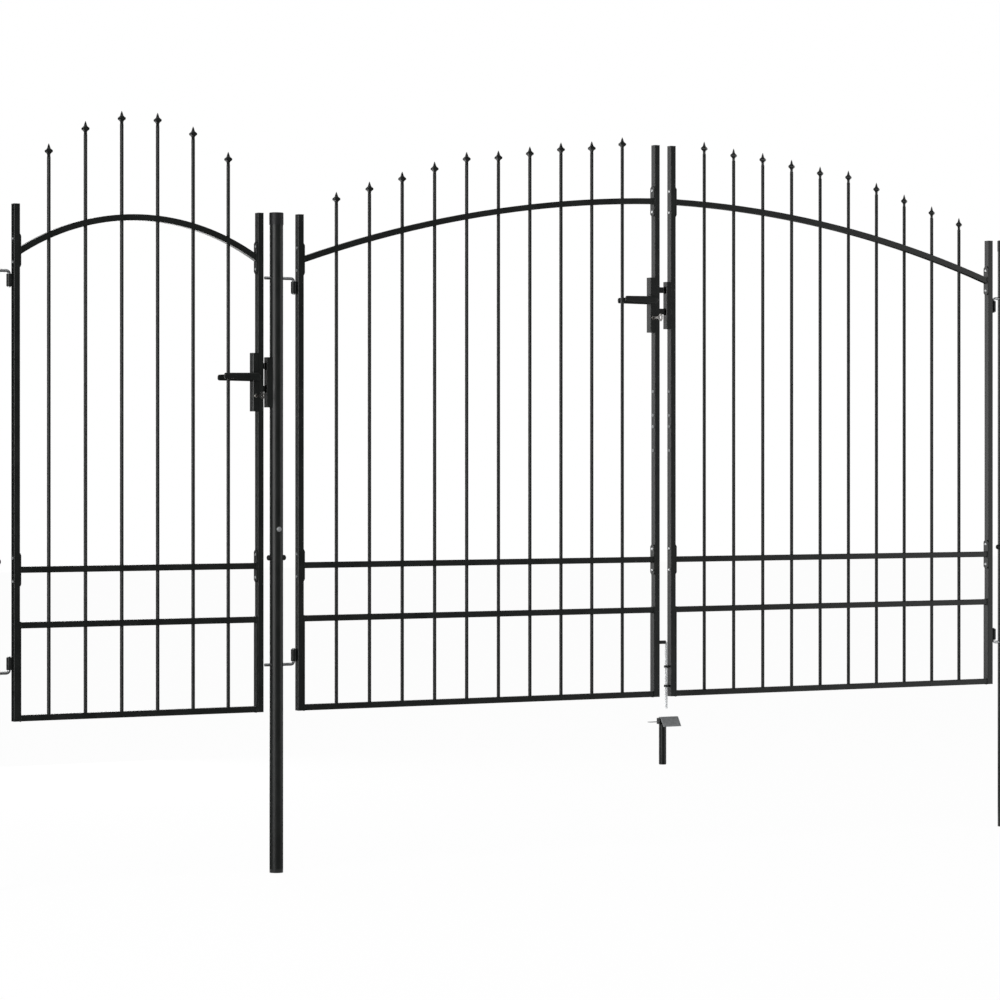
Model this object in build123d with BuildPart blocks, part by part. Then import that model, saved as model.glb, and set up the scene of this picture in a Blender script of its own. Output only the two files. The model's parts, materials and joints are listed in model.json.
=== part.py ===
from build123d import *
from math import sqrt
import os

# Layout: X runs along the gate, Y away from the viewer, Z up from the foot of the middle post
ped_span = 1000.0  # between the post centres beside the pedestrian leaf
drive_span = 2993.0  # between the post centres beside the driveway leaves
leaf_lift = 530.0  # underside of the leaves above the feet of the posts
hinge_gap = 85.0  # post centre to hinge stile centre
right_hinge_gap = 70.0  # the same at the right post
latch_gap = 62.0  # latch stile centre to post centre
meeting_gap = 66.0  # between the centres of the two meeting stiles
overrun = 1.0  # how far a cut runs past the faces it opens

# Round bars and small trim are drawn with few sides
bar_sides = 8
trim_sides = 12
bar_turn = 180 / bar_sides  # sets a bar's flats square to the leaf

# Posts: two lengths of round tube butted together over an inner sleeve, with a push-on cap
post_diameter = 45.0
post_wall = 2.0
post_over = 1.0  # top of the post above the top of the hinge stiles
splice_height = 1083.0
sleeve_length = 240.0
sleeve_wall = 2.0
sleeve_clearance = 0.3
cap_skirt = 38.0
cap_wall = 1.2
cap_top = 2.0
cap_clearance = 0.1

# Leaf frames: heights are above the underside of the leaf
stile_width = 20.0
stile_depth = 25.0
stile_wall = 1.5
stile_corner = 0.8
outer_stile_height = 1639.0
rail_size = 20.0
rail_corner = 1.5
lower_rail_height = 304.0
middle_rail_rise = 176.0  # above the lower rail
plate_thickness = 4.0
plate_height = 105.0
plate_corner = 7.3

# Arched top rails, each sprung from its end plate on the hinge stile
arch_drop = 148.0  # end of the arch's centre line below the top of the hinge stile
ped_arch_radius = 778.0
drive_arch_radius = 4539.0
drive_arch_reach = 91.6  # arch centre beyond the centre of the meeting stile
meeting_rise = 195.0  # top of the meeting stiles above the crown of the driveway arch

# Pickets: bars through the rails, their tips stepped down from the highest one
picket_diameter = 12.0
picket_clearance = 0.2
ped_margin = 112.25  # stile centre to the nearest picket
drive_margin = 136.35
tip_over = 21.6  # highest tip above the top of the meeting stiles
tip_step = 9.63
ped_tip_shares = (12, 4, 0, 0, 4, 12)  # steps down, from hinge to latch
drive_tip_shares = (24, 20, 16, 12, 8, 7, 5, 3, 2, 0)  # steps down, from hinge to meeting stile

# Spear heads: four-sided, a point above a waist that flares into a collar
spear_height = 44.0
spear_width = 28.0  # across opposite corners of the collar
spear_level_shares = (0.0, 0.16, 0.42, 0.48, 0.64, 1.0)
spear_width_shares = (0.43, 0.4, 1.0, 1.0, 0.44, 0.04)
spear_turn = 0.0  # faces point along and across the leaf
spear_turn_right = 45.0  # on the right leaf the corners do

# Hinges: a bent rod through the post carries a pin that stands in an eye on the stile
pin_diameter = 10.0
pin_clearance = 0.08
pin_bend = 6.0  # taken off the corner where the rod turns
pin_over = 3.0  # pin beyond the far end of the eye
rod_clearance = 0.25
tail_gap = 9.5  # rod's tail to the face of the stile beyond the post
eye_diameter = 18.0
eye_height = 40.0
eye_offset = 12.0  # hinge axis to the outer face of the stile
eye_web = 8.0
eye_clear = 1.4  # between the bend and the eye
upper_rod_drop = 213.0  # below the top of the hinge stile
lower_rod_height = 154.0

# Locks: drops are below the top of the hinge stiles, rises are above the middle of the case
ped_lock_drop = 556.0
main_lock_drop = 270.0
case_width = 19.0
case_depth = 27.0
case_height = 192.0
case_corner = 2.0
spindle_rise = 17.0
cylinder_rise = -45.0
bolt_rises = (53.5, -21.5)
bolt_depth = 12.0
bolt_height = 20.0
bolt_clearance = 0.3
bolt_setback = 6.0  # drawn-back bolt to the face of its keep
barrel_diameter = 13.0
barrel_clearance = 0.1
barrel_proud = 4.0

# Keys: the bow stands upright, edge on to the leaf
key_thickness = 2.5
key_blade = 8.0
key_neck = 33.0
key_bow = 27.0
key_hole = 12.0

# Lever handles: one on each side, fixed to a square spindle through the case
spindle_size = 8.0
spindle_clearance = 0.05
lever_length = 118.0  # spindle axis to tip
lever_root = 27.0
lever_tip = 19.0
lever_tip_rise = 2.8  # middle of the tip above the spindle axis on the front handle
lever_corner = 3.0
lever_thickness = 9.0
lever_edge = 2.5
lever_standoff = 7.5  # between the case and the back of the lever
neck_diameter = 14.0
neck_clearance = 0.5

# Keeps: the boxes that the lock bolts shoot into
keep_height = 165.0
keep_depth = 25.0
ped_keep_reach = 16.0  # beyond the face of the post
main_keep_reach = 17.0  # beyond the face of the stile
keep_grip = 12.0  # how far the keep wraps back round the post
keep_corner = 1.5
keep_seat_clearance = 0.1
pocket_clearance = 2.0
pocket_depth = 12.0

# Drop bolt: a bent rod in two eyes on the right meeting stile
drop_diameter = 10.0
drop_offset = 11.5  # rod axis to the face of the stile
drop_foot = -42.0
drop_handle_height = 190.0
drop_bend = 6.0  # taken off the corner where the rod turns
handle_gap = 6.0  # end of the handle to the left meeting stile
guide_diameter = 17.0
guide_clearance = 0.3
guide_height = 8.0
guide_web = 8.0
guide_heights = (36.5, 104.5)

# Ground stop: a stake under a folded plate, standing behind the foot of the drop bolt
stake_diameter = 26.0
stake_length = 163.5
stake_side = 15.0  # stake axis to the right of the bolt's axis
lug_reach = 5.0  # beyond the side of the stake
lug_width = 20.0
lug_height = 21.0
stop_drop = 75.0  # ridge of the plate below the leaves
stop_thickness = 4.0
stop_fall = 33.0
stop_run = 22.0
stop_length = 72.0
stop_gap = 8.5  # between the dropped bolt and the foot of the slope
stop_side = 1.0  # left end of the slope beyond the bolt's axis, to the left
tongue_drop = 16.0  # tongue below the ridge
tongue_length = 57.0  # from the stake axis
tongue_width = 16.0
tongue_thickness = 2.0

# Places worked out from the sizes above
post_radius = post_diameter / 2
post_height = leaf_lift + outer_stile_height + post_over
left_post_x = -ped_span
right_post_x = drive_span
meeting_x = (hinge_gap + drive_span - right_hinge_gap) / 2
half_stile = stile_width / 2
half_rail = rail_size / 2
hinge_reach = half_stile + eye_offset  # hinge stile centre to hinge axis
pin_tail = latch_gap - half_stile - tail_gap  # post centre to the end of the rod's tail
upper_rod_z = leaf_lift + outer_stile_height - upper_rod_drop
lower_rod_z = leaf_lift + lower_rod_height
eye_start = pin_bend + (sqrt(2) - 1) * pin_diameter / 2 + eye_clear  # rod axis to the eye
picket_hole = picket_diameter / 2 + picket_clearance
rod_hole = pin_diameter / 2 + rod_clearance
guide_hole = drop_diameter / 2 + guide_clearance
spindle_hole = spindle_size / sqrt(2) + spindle_clearance
arch_inset = half_stile + plate_thickness  # stile centre to the end of a rail
drop_x = meeting_x + meeting_gap / 2 - half_stile - drop_offset

# The crown of each arch, from where its end springs
ped_arch_centre = (left_post_x + hinge_gap - latch_gap) / 2
drive_arch_centre = meeting_x - meeting_gap / 2 + drive_arch_reach
ped_half_chord = ped_arch_centre - left_post_x - hinge_gap - arch_inset
drive_half_chord = drive_arch_centre - hinge_gap - arch_inset
spring_height = outer_stile_height - arch_drop
ped_arch_crown = spring_height + ped_arch_radius - sqrt(ped_arch_radius**2 - ped_half_chord**2)
drive_arch_crown = spring_height + drive_arch_radius - sqrt(drive_arch_radius**2 - drive_half_chord**2)
meeting_stile_height = drive_arch_crown + meeting_rise
tip_height = meeting_stile_height + tip_over

# Each leaf: where its stiles stand, its pickets and its arch
leaves = {
    "ped": {
        "post": left_post_x,
        "side": 1,
        "hinge": left_post_x + hinge_gap,
        "free": -latch_gap,
        "free_name": "latch_stile",
        "free_height": outer_stile_height,
        "margin": ped_margin,
        "tips": ped_tip_shares,
        "turn": spear_turn,
        "arch_radius": ped_arch_radius,
        "arch_crown": ped_arch_crown,
        "arch_centre": ped_arch_centre,
    },
    "left": {
        "post": 0,
        "side": 1,
        "hinge": hinge_gap,
        "free": meeting_x - meeting_gap / 2,
        "free_name": "meeting_stile",
        "free_height": meeting_stile_height,
        "margin": drive_margin,
        "tips": drive_tip_shares,
        "turn": spear_turn,
        "arch_radius": drive_arch_radius,
        "arch_crown": drive_arch_crown,
        "arch_centre": drive_arch_centre,
    },
    "right": {
        "post": right_post_x,
        "side": -1,
        "hinge": right_post_x - right_hinge_gap,
        "free": meeting_x + meeting_gap / 2,
        "free_name": "meeting_stile",
        "free_height": meeting_stile_height,
        "margin": drive_margin,
        "tips": drive_tip_shares,
        "turn": spear_turn_right,
        "arch_radius": drive_arch_radius,
        "arch_crown": drive_arch_crown,
        "arch_centre": 2 * meeting_x - drive_arch_centre,
    },
}
locks = {
    "ped": {
        "height": leaf_lift + outer_stile_height - ped_lock_drop,
        "stile": leaves["ped"]["free"],
        "keep_face": -post_radius - ped_keep_reach,
    },
    "main": {
        "height": leaf_lift + outer_stile_height - main_lock_drop,
        "stile": leaves["left"]["free"],
        "keep_face": leaves["right"]["free"] - half_stile - main_keep_reach,
    },
}

os.makedirs("parts", exist_ok=True)


def save(piece, name):
    piece.part.label = name
    export_step(piece.part, f"parts/{name}.step")


def save_set(pieces, name):
    # Pieces of one kind that touch and stay separate solids
    kit = Compound([solid for piece in pieces for solid in piece.solids()], label=name)
    export_step(kit, f"parts/{name}.step")


def post_length(x, foot, top, rod_z):
    # One length of post tube, cross-drilled for its hinge rod
    with BuildPart() as tube:
        with BuildSketch(Plane.XY.offset(foot)):
            with Locations((x, 0)):
                Circle(post_radius)
                RegularPolygon(post_radius - post_wall, trim_sides, mode=Mode.SUBTRACT)
        extrude(amount=top - foot)
        with BuildSketch(Plane.YZ.offset(x)):
            with Locations((0, rod_z)):
                RegularPolygon(rod_hole, bar_sides, major_radius=False, rotation=bar_turn)
        extrude(amount=post_diameter, both=True, mode=Mode.SUBTRACT)
    return tube


def bent_rod(places, cut, diameter):
    # Rod in the plane of the leaf through three places, its corner taken off where it turns
    first, turn, last = (Vector(x, 0, z) for x, z in places)
    near = turn + (first - turn).normalized() * cut
    far = turn + (last - turn).normalized() * cut
    with BuildLine() as route:
        Polyline(first, near, far, last)
    with BuildSketch(Plane(route.line @ 0, z_dir=route.line % 0)) as section:
        RegularPolygon(diameter / 2, trim_sides)
    sweep(section.sketch, path=route.wire(), transition=Transition.RIGHT)


def hinge_pins(leaf):
    # Two bent rods: the upper pin points down and the lower one up, so the leaf can't lift off
    tail_x = leaf["post"] - leaf["side"] * pin_tail
    axis_x = leaf["hinge"] - leaf["side"] * hinge_reach
    pin_length = eye_start + eye_height + pin_over
    with BuildPart() as pins:
        for rod_z, way in ((upper_rod_z, -1), (lower_rod_z, 1)):
            places = ((tail_x, rod_z), (axis_x, rod_z), (axis_x, rod_z + way * pin_length))
            bent_rod(places, pin_bend, pin_diameter)
    return pins


def hinge_eyes(leaf):
    # Two eyes, each joined to the outer face of the hinge stile by a short web
    axis_x = leaf["hinge"] - leaf["side"] * hinge_reach
    with BuildPart() as eyes:
        for foot in (upper_rod_z - eye_start - eye_height, lower_rod_z + eye_start):
            with BuildSketch(Plane.XY.offset(foot)):
                with Locations((axis_x, 0)):
                    RegularPolygon(eye_diameter / 2, trim_sides)
                with Locations((axis_x + leaf["side"] * eye_offset / 2, 0)):
                    Rectangle(eye_offset, eye_web)
                with Locations((axis_x, 0)):
                    Circle(pin_diameter / 2 + pin_clearance, mode=Mode.SUBTRACT)
            extrude(amount=eye_height)
    return eyes


def stile(x, height):
    # Upright tube, closed at the top and open at the foot
    with BuildPart() as tube:
        with BuildSketch(Plane.XY.offset(leaf_lift)) as outside:
            with Locations((x, 0)):
                Rectangle(stile_width, stile_depth)
            chamfer(outside.vertices(), stile_corner)
        extrude(amount=height)
        with BuildSketch(Plane.XY.offset(leaf_lift)):
            with Locations((x, 0)):
                Rectangle(stile_width - 2 * stile_wall, stile_depth - 2 * stile_wall)
        extrude(amount=height - stile_wall, mode=Mode.SUBTRACT)
    return tube


def lock_stile(x, height, lock_z):
    # A stile with slots that the two lock bolts pass through
    with BuildPart() as tube:
        add(stile(x, height).part)
        with BuildSketch(Plane.YZ.offset(x)):
            with Locations(*[(0, lock_z + rise) for rise in bolt_rises]):
                Rectangle(bolt_depth + 2 * bolt_clearance, bolt_height + 2 * bolt_clearance)
        extrude(amount=stile_width, both=True, mode=Mode.SUBTRACT)
    return tube


def leaf_inside(leaf):
    # The two facing stile faces of a leaf, left then right
    left, right = sorted((leaf["hinge"], leaf["free"]))
    return left + half_stile, right - half_stile


def picket_places(leaf):
    # Each picket's X and the Z of its tip, from the hinge side
    way = 1 if leaf["free"] > leaf["hinge"] else -1
    room = abs(leaf["free"] - leaf["hinge"]) - 2 * leaf["margin"]
    last = len(leaf["tips"]) - 1
    for i, steps in enumerate(leaf["tips"]):
        x = leaf["hinge"] + way * (leaf["margin"] + room * i / last)
        yield x, leaf_lift + tip_height - steps * tip_step


def arch_z(leaf, x, offset):
    # Height of the arch, offset outwards from its centre line
    radius = leaf["arch_radius"]
    centre_z = leaf_lift + leaf["arch_crown"] - radius
    return centre_z + sqrt((radius + offset) ** 2 - (x - leaf["arch_centre"]) ** 2)


def end_plates(leaf, middle_zs):
    # Bolting plates with their corners taken off, lying against the faces of the stiles
    for face_x, z, way in zip(leaf_inside(leaf), middle_zs, (1, -1)):
        with BuildSketch(Plane.YZ.offset(face_x)) as plate:
            with Locations((0, z)):
                Rectangle(stile_depth, plate_height)
            chamfer(plate.vertices(), plate_corner)
        extrude(plate.sketch, amount=way * plate_thickness)


def pierce(leaf, foot, top):
    # The row of picket holes through a rail
    with BuildSketch(Plane.XY.offset(foot - overrun)) as holes:
        with Locations(*[(x, 0) for x, tip in picket_places(leaf)]):
            RegularPolygon(picket_hole, bar_sides, rotation=bar_turn)
    extrude(holes.sketch, amount=top - foot + 2 * overrun, mode=Mode.SUBTRACT)


def arch_rail(leaf):
    # Curved rail, pierced by the pickets, with its end plates
    left, right = leaf_inside(leaf)
    low_x = left + plate_thickness
    high_x = right - plate_thickness
    mid_x = (low_x + high_x) / 2
    end_zs = [arch_z(leaf, x, 0) for x in (low_x, high_x)]
    with BuildPart() as rail:
        with BuildSketch(Plane.XZ):
            with BuildLine():
                under = ThreePointArc(*[(x, arch_z(leaf, x, -half_rail)) for x in (low_x, mid_x, high_x)])
                over = ThreePointArc(*[(x, arch_z(leaf, x, half_rail)) for x in (low_x, mid_x, high_x)])
                Line(under @ 0, over @ 0)
                Line(under @ 1, over @ 1)
            make_face()
        extrude(amount=half_rail, both=True)
        pierce(leaf, min(end_zs) - rail_size, leaf_lift + leaf["arch_crown"] + rail_size)
        end_plates(leaf, end_zs)
    return rail


def straight_rail(leaf, middle_z):
    # A straight length of rail between two end plates, unpierced
    left, right = leaf_inside(leaf)
    with BuildSketch(Plane.YZ.offset(left + plate_thickness)) as section:
        with Locations((0, middle_z)):
            Rectangle(rail_size, rail_size)
        chamfer(section.vertices(), rail_corner)
    extrude(section.sketch, amount=right - left - 2 * plate_thickness)


def middle_rail(leaf):
    z = leaf_lift + lower_rail_height + middle_rail_rise
    with BuildPart() as rail:
        straight_rail(leaf, z)
        pierce(leaf, z - half_rail, z + half_rail)
        end_plates(leaf, (z, z))
    return rail


def lower_frame(leaf):
    # The lower and bottom rails, welded to a flat strip at each end
    left, right = leaf_inside(leaf)
    lower_z = leaf_lift + lower_rail_height
    strip_height = lower_rail_height + half_rail
    with BuildPart() as frame:
        straight_rail(leaf, lower_z)
        pierce(leaf, lower_z - half_rail, lower_z + half_rail)
        straight_rail(leaf, leaf_lift + half_rail)
        for face_x, way in ((left, 1), (right, -1)):
            with BuildSketch(Plane.YZ.offset(face_x)):
                with Locations((0, leaf_lift + strip_height / 2)):
                    Rectangle(stile_depth, strip_height)
            extrude(amount=way * plate_thickness)
    return frame


def spear_head():
    # One outline pushed through both ways, which leaves a head with four sides
    side = spear_width / sqrt(2)
    outline = [
        (width * side / 2, level * spear_height)
        for level, width in zip(spear_level_shares, spear_width_shares)
    ]
    outline += [(-reach, z) for reach, z in reversed(outline)]
    with BuildPart() as head:
        for plane, mode in ((Plane.XZ, Mode.ADD), (Plane.YZ, Mode.INTERSECT)):
            with BuildSketch(plane):
                with BuildLine():
                    Polyline(*outline, close=True)
                make_face()
            extrude(amount=side, both=True, mode=mode)
    return head


def pickets(leaf):
    # Bars standing on the bottom rail, and the cast heads that sit on their tops
    foot = leaf_lift + rail_size
    head = spear_head()
    with BuildPart() as bars:
        for x, tip in picket_places(leaf):
            with BuildSketch(Plane.XY.offset(foot)):
                with Locations((x, 0)):
                    RegularPolygon(picket_diameter / 2, bar_sides, rotation=bar_turn)
            extrude(amount=tip - spear_height - foot)
    with BuildPart() as heads:
        for x, tip in picket_places(leaf):
            with Locations(Location((x, 0, tip - spear_height), (0, 0, leaf["turn"]))):
                add(head.part)
    return bars, heads


def case_middle(lock):
    return lock["stile"] - half_stile - case_width / 2


def lock_case(lock):
    # Closed box on the inner face of the stile, bored for the spindle and the cylinder
    x = case_middle(lock)
    with BuildPart() as case:
        with BuildSketch(Plane.XY.offset(lock["height"] - case_height / 2)):
            with Locations((x, 0)):
                Rectangle(case_width, case_depth)
        extrude(amount=case_height)
        chamfer(case.edges().filter_by(Axis.Z).group_by(Axis.X)[0], case_corner)
        with BuildSketch(Plane.XZ):
            with Locations((x, lock["height"] + spindle_rise)):
                RegularPolygon(spindle_hole, trim_sides, major_radius=False)
            with Locations((x, lock["height"] + cylinder_rise)):
                RegularPolygon(barrel_diameter / 2 + barrel_clearance, trim_sides)
        extrude(amount=case_depth, both=True, mode=Mode.SUBTRACT)
    return case


def lock_bolts(lock):
    # The latch, with its bevelled nose, and the dead bolt below it
    start = lock["stile"] - half_stile
    length = lock["keep_face"] - bolt_setback - start
    with BuildPart() as bolts:
        with BuildSketch(Plane.YZ.offset(start)):
            with Locations(*[(0, lock["height"] + rise) for rise in bolt_rises]):
                Rectangle(bolt_depth, bolt_height)
        extrude(amount=length)
        nose = bolts.edges().filter_by(Axis.Z).group_by(Axis.X)[-1].group_by(Axis.Z)[-1]
        chamfer(nose.sort_by(Axis.Y)[0], bolt_depth / 2)
    return bolts


def lock_cylinder(lock):
    # The barrel, and the key left in it on the front
    x = case_middle(lock)
    z = lock["height"] + cylinder_rise
    barrel_face = case_depth / 2 + barrel_proud
    bow_y = -barrel_face - key_neck - key_bow / 2
    with BuildPart() as cylinder:
        with BuildSketch(Plane.XZ):
            with Locations((x, z)):
                RegularPolygon(barrel_diameter / 2, trim_sides)
        extrude(amount=barrel_face, both=True)
        with BuildSketch(Plane.YZ.offset(x)):
            with Locations(((bow_y - barrel_face) / 2, z)):
                Rectangle(-barrel_face - bow_y, key_blade)
            with Locations((bow_y, z)):
                RegularPolygon(key_bow / 2, trim_sides)
                RegularPolygon(key_hole / 2, trim_sides, mode=Mode.SUBTRACT)
        extrude(amount=key_thickness / 2, both=True)
    return cylinder


def lever(lock):
    # One handle on each end of the spindle, turned over at the back, both pointing away from the keep
    x = case_middle(lock)
    z = lock["height"] + spindle_rise
    back = case_depth / 2 + lever_standoff
    neck_foot = case_depth / 2 + neck_clearance
    with BuildPart() as handle:
        for side in (1, -1):
            with BuildSketch(Plane.XZ.offset(side * back)) as outline:
                with Locations((x, z)):
                    RegularPolygon(lever_root / 2, trim_sides)
                with Locations((x - lever_length, z + side * lever_tip_rise)):
                    Rectangle(lever_tip, lever_tip, align=(Align.MIN, Align.CENTER))
                make_hull()
                chamfer(outline.vertices().sort_by(Axis.X)[:2], lever_corner)
            extrude(amount=side * lever_thickness)
            chamfer(handle.faces().sort_by(Axis.Y, reverse=side < 0)[0].edges(), lever_edge)
            with BuildSketch(Plane.XZ.offset(side * neck_foot)):
                with Locations((x, z)):
                    RegularPolygon(neck_diameter / 2, trim_sides)
            extrude(amount=side * (back - neck_foot))
        with BuildSketch(Plane.XZ):
            with Locations((x, z)):
                Rectangle(spindle_size, spindle_size)
        extrude(amount=neck_foot, both=True)
    return handle


def pockets(lock, mouth_x):
    # Cuts the two pockets of a keep, open towards the lock
    with BuildSketch(Plane.YZ.offset(mouth_x)) as mouths:
        with Locations(*[(0, lock["height"] + rise) for rise in bolt_rises]):
            Rectangle(bolt_depth + 2 * pocket_clearance, bolt_height + 2 * pocket_clearance)
    extrude(mouths.sketch, amount=pocket_depth, mode=Mode.SUBTRACT)


def ped_keep():
    # Keep hollowed at the back to sit on the round post
    lock = locks["ped"]
    back_x = -post_radius + keep_grip
    with BuildPart() as keep:
        with BuildSketch(Plane.XY.offset(lock["height"] - keep_height / 2)):
            with Locations(((lock["keep_face"] + back_x) / 2, 0)):
                Rectangle(back_x - lock["keep_face"], keep_depth)
            Circle(post_radius + keep_seat_clearance, mode=Mode.SUBTRACT)
        extrude(amount=keep_height)
        pockets(lock, lock["keep_face"])
    return keep


def main_keep():
    lock = locks["main"]
    with BuildPart() as keep:
        with BuildSketch(Plane.XY.offset(lock["height"] - keep_height / 2)):
            with Locations((lock["keep_face"] + main_keep_reach / 2, 0)):
                Rectangle(main_keep_reach, keep_depth)
        extrude(amount=keep_height)
        chamfer(keep.edges().filter_by(Axis.Z).group_by(Axis.X)[0], keep_corner)
        pockets(lock, lock["keep_face"])
    return keep


def drop_bolt():
    # Rod with its top bent over as a handle, towards the left leaf
    foot_z = leaf_lift + drop_foot
    handle_z = leaf_lift + drop_handle_height
    handle_x = leaves["left"]["free"] + half_stile + handle_gap
    with BuildPart() as rod:
        places = ((drop_x, foot_z), (drop_x, handle_z), (handle_x, handle_z))
        bent_rod(places, drop_bend, drop_diameter)
    return rod


def drop_guides():
    # Two eyes for the drop bolt, each joined to the stile's face by a web
    with BuildPart() as guides:
        for height in guide_heights:
            with BuildSketch(Plane.XY.offset(leaf_lift + height - guide_height / 2)):
                with Locations((drop_x, 0)):
                    RegularPolygon(guide_diameter / 2, trim_sides)
                with Locations((drop_x + drop_offset / 2, 0)):
                    Rectangle(drop_offset, guide_web)
                with Locations((drop_x, 0)):
                    RegularPolygon(guide_hole, trim_sides, major_radius=False, mode=Mode.SUBTRACT)
            extrude(amount=guide_height)
    return guides


def ground_stop():
    # Stake under a plate folded down towards the bolt, and a lug with a thin tongue to the left
    ridge_z = leaf_lift - stop_drop
    foot_z = ridge_z - stop_fall
    slope_y = drop_diameter / 2 + stop_gap
    ridge_y = slope_y + stop_run
    stake_x = drop_x + stake_side
    stake_y = ridge_y + stake_diameter / 2
    with BuildPart() as stop:
        with BuildSketch(Plane.YZ.offset(drop_x - stop_side)):
            with BuildLine():
                Polyline(
                    (slope_y, foot_z),
                    (ridge_y, ridge_z),
                    (stake_y, ridge_z),
                    (stake_y, ridge_z - stop_thickness),
                    (ridge_y + stop_thickness / 2, ridge_z - stop_thickness),
                    (slope_y + stop_thickness, foot_z),
                    close=True,
                )
            make_face()
        extrude(amount=stop_length)
        with BuildSketch(Plane.XY.offset(ridge_z - stop_thickness)):
            with Locations((stake_x, stake_y)):
                RegularPolygon(stake_diameter / 2, trim_sides)
        extrude(amount=-stake_length)
        with BuildSketch(Plane.XY.offset(ridge_z - stop_thickness)):
            with Locations((stake_x, stake_y)):
                Rectangle(stake_diameter / 2 + lug_reach, lug_width, align=(Align.MAX, Align.CENTER))
        extrude(amount=-lug_height)
        with BuildSketch(Plane.XY.offset(ridge_z - tongue_drop)):
            with Locations((stake_x - tongue_length / 2, stake_y)):
                Rectangle(tongue_length, tongue_width)
        extrude(amount=-tongue_thickness)
    return stop


# Posts with their hinge rods
post_xs = {"left": left_post_x, "middle": 0, "right": right_post_x}
for name, x in post_xs.items():
    save(post_length(x, 0, splice_height, lower_rod_z), f"{name}_post_lower")
    save(post_length(x, splice_height, post_height, upper_rod_z), f"{name}_post_upper")
for name, leaf in zip(post_xs, leaves.values()):
    save(hinge_pins(leaf), f"{name}_hinge_pins")

with BuildPart() as post_sleeves:
    sleeve_radius = post_radius - post_wall - sleeve_clearance
    with BuildSketch(Plane.XY.offset(splice_height - sleeve_length / 2)):
        with Locations(*[(x, 0) for x in post_xs.values()]):
            RegularPolygon(sleeve_radius, trim_sides)
            RegularPolygon(sleeve_radius - sleeve_wall, trim_sides, mode=Mode.SUBTRACT)
    extrude(amount=sleeve_length)
save(post_sleeves, "post_sleeves")

with BuildPart() as post_caps:
    cap_bore = post_radius + cap_clearance
    with BuildSketch(Plane.XY.offset(post_height - cap_skirt)):
        with Locations(*[(x, 0) for x in post_xs.values()]):
            Circle(cap_bore + cap_wall)
    extrude(amount=cap_skirt + cap_top)
    with BuildSketch(Plane.XY.offset(post_height - cap_skirt)):
        with Locations(*[(x, 0) for x in post_xs.values()]):
            Circle(cap_bore)
    extrude(amount=cap_skirt, mode=Mode.SUBTRACT)
save(post_caps, "post_caps")

# Leaves
for name, leaf in leaves.items():
    save(stile(leaf["hinge"], outer_stile_height), f"{name}_hinge_stile")
    save(hinge_eyes(leaf), f"{name}_hinge_eyes")
    save(arch_rail(leaf), f"{name}_arch_rail")
    save(middle_rail(leaf), f"{name}_middle_rail")
    save(lower_frame(leaf), f"{name}_lower_frame")
    save_set(pickets(leaf), f"{name}_pickets")

for name, lock in zip(("ped", "left"), locks.values()):
    leaf = leaves[name]
    save(lock_stile(leaf["free"], leaf["free_height"], lock["height"]), f"{name}_{leaf['free_name']}")
save(stile(leaves["right"]["free"], meeting_stile_height), "right_meeting_stile")

# Locks, keeps, drop bolt and ground stop
for name, lock in locks.items():
    save(lock_case(lock), f"{name}_lock_case")
    save(lock_bolts(lock), f"{name}_lock_bolts")
    save(lock_cylinder(lock), f"{name}_lock_cylinder")
    save(lever(lock), f"{name}_lever")
save(ped_keep(), "ped_keep")
save(main_keep(), "main_keep")
save(drop_bolt(), "drop_bolt")
save(drop_guides(), "drop_bolt_guides")
save(ground_stop(), "ground_stop")
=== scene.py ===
import json
import math

import bpy
import numpy as np
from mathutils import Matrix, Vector


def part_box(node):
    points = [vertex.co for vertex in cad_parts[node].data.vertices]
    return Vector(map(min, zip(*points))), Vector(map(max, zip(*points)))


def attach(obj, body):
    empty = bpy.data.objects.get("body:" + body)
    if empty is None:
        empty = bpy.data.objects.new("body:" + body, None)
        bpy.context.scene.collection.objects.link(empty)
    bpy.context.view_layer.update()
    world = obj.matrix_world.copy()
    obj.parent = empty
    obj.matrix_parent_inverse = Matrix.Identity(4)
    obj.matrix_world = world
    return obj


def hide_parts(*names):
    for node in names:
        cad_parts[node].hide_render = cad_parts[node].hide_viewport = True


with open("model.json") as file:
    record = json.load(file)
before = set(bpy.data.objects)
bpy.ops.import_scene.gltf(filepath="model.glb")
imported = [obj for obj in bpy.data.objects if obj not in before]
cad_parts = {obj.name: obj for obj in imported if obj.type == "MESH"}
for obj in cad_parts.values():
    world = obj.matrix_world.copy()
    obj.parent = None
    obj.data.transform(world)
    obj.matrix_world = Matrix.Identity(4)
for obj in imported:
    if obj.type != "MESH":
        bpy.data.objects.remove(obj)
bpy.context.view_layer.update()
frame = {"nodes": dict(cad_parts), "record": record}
nodes = frame["nodes"]
scene = bpy.context.scene
mm = 0.001
leafNames = ("ped", "left", "right")
postNames = ("left", "middle", "right")
print("frame loaded:", len(nodes), "nodes")


def linear(hexColour):  # sRGB hex to linear RGBA
    channels = np.array([int(hexColour[i:i + 2], 16) for i in (1, 3, 5)]) / 255
    dark = channels / 12.92
    light = ((channels + 0.055) / 1.055) ** 2.4
    return (*np.where(channels <= 0.04045, dark, light), 1.0)


def addNode(tree, kind, settings=None, links=None, stops=()):
    # One node with its settings, its incoming links and, on a ramp, its stops
    node = tree.nodes.new(kind)
    for name, value in (settings or {}).items():
        if isinstance(name, int) or name in node.inputs:
            node.inputs[name].default_value = value
        else:
            setattr(node, name, value)
    for name, source in (links or {}).items():
        tree.links.new(source, node.inputs[name])
    for number, (place, colour) in enumerate(stops):
        node.color_ramp.elements[number].position = place
        node.color_ramp.elements[number].color = linear(colour)
    return node


def newMaterial(name):
    material = bpy.data.materials.new(name)
    material.use_nodes = True
    material.node_tree.nodes.clear()
    return material, material.node_tree


noiseSpan = (0.35, 0.65)  # where a noise's tones run from dark to light

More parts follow.
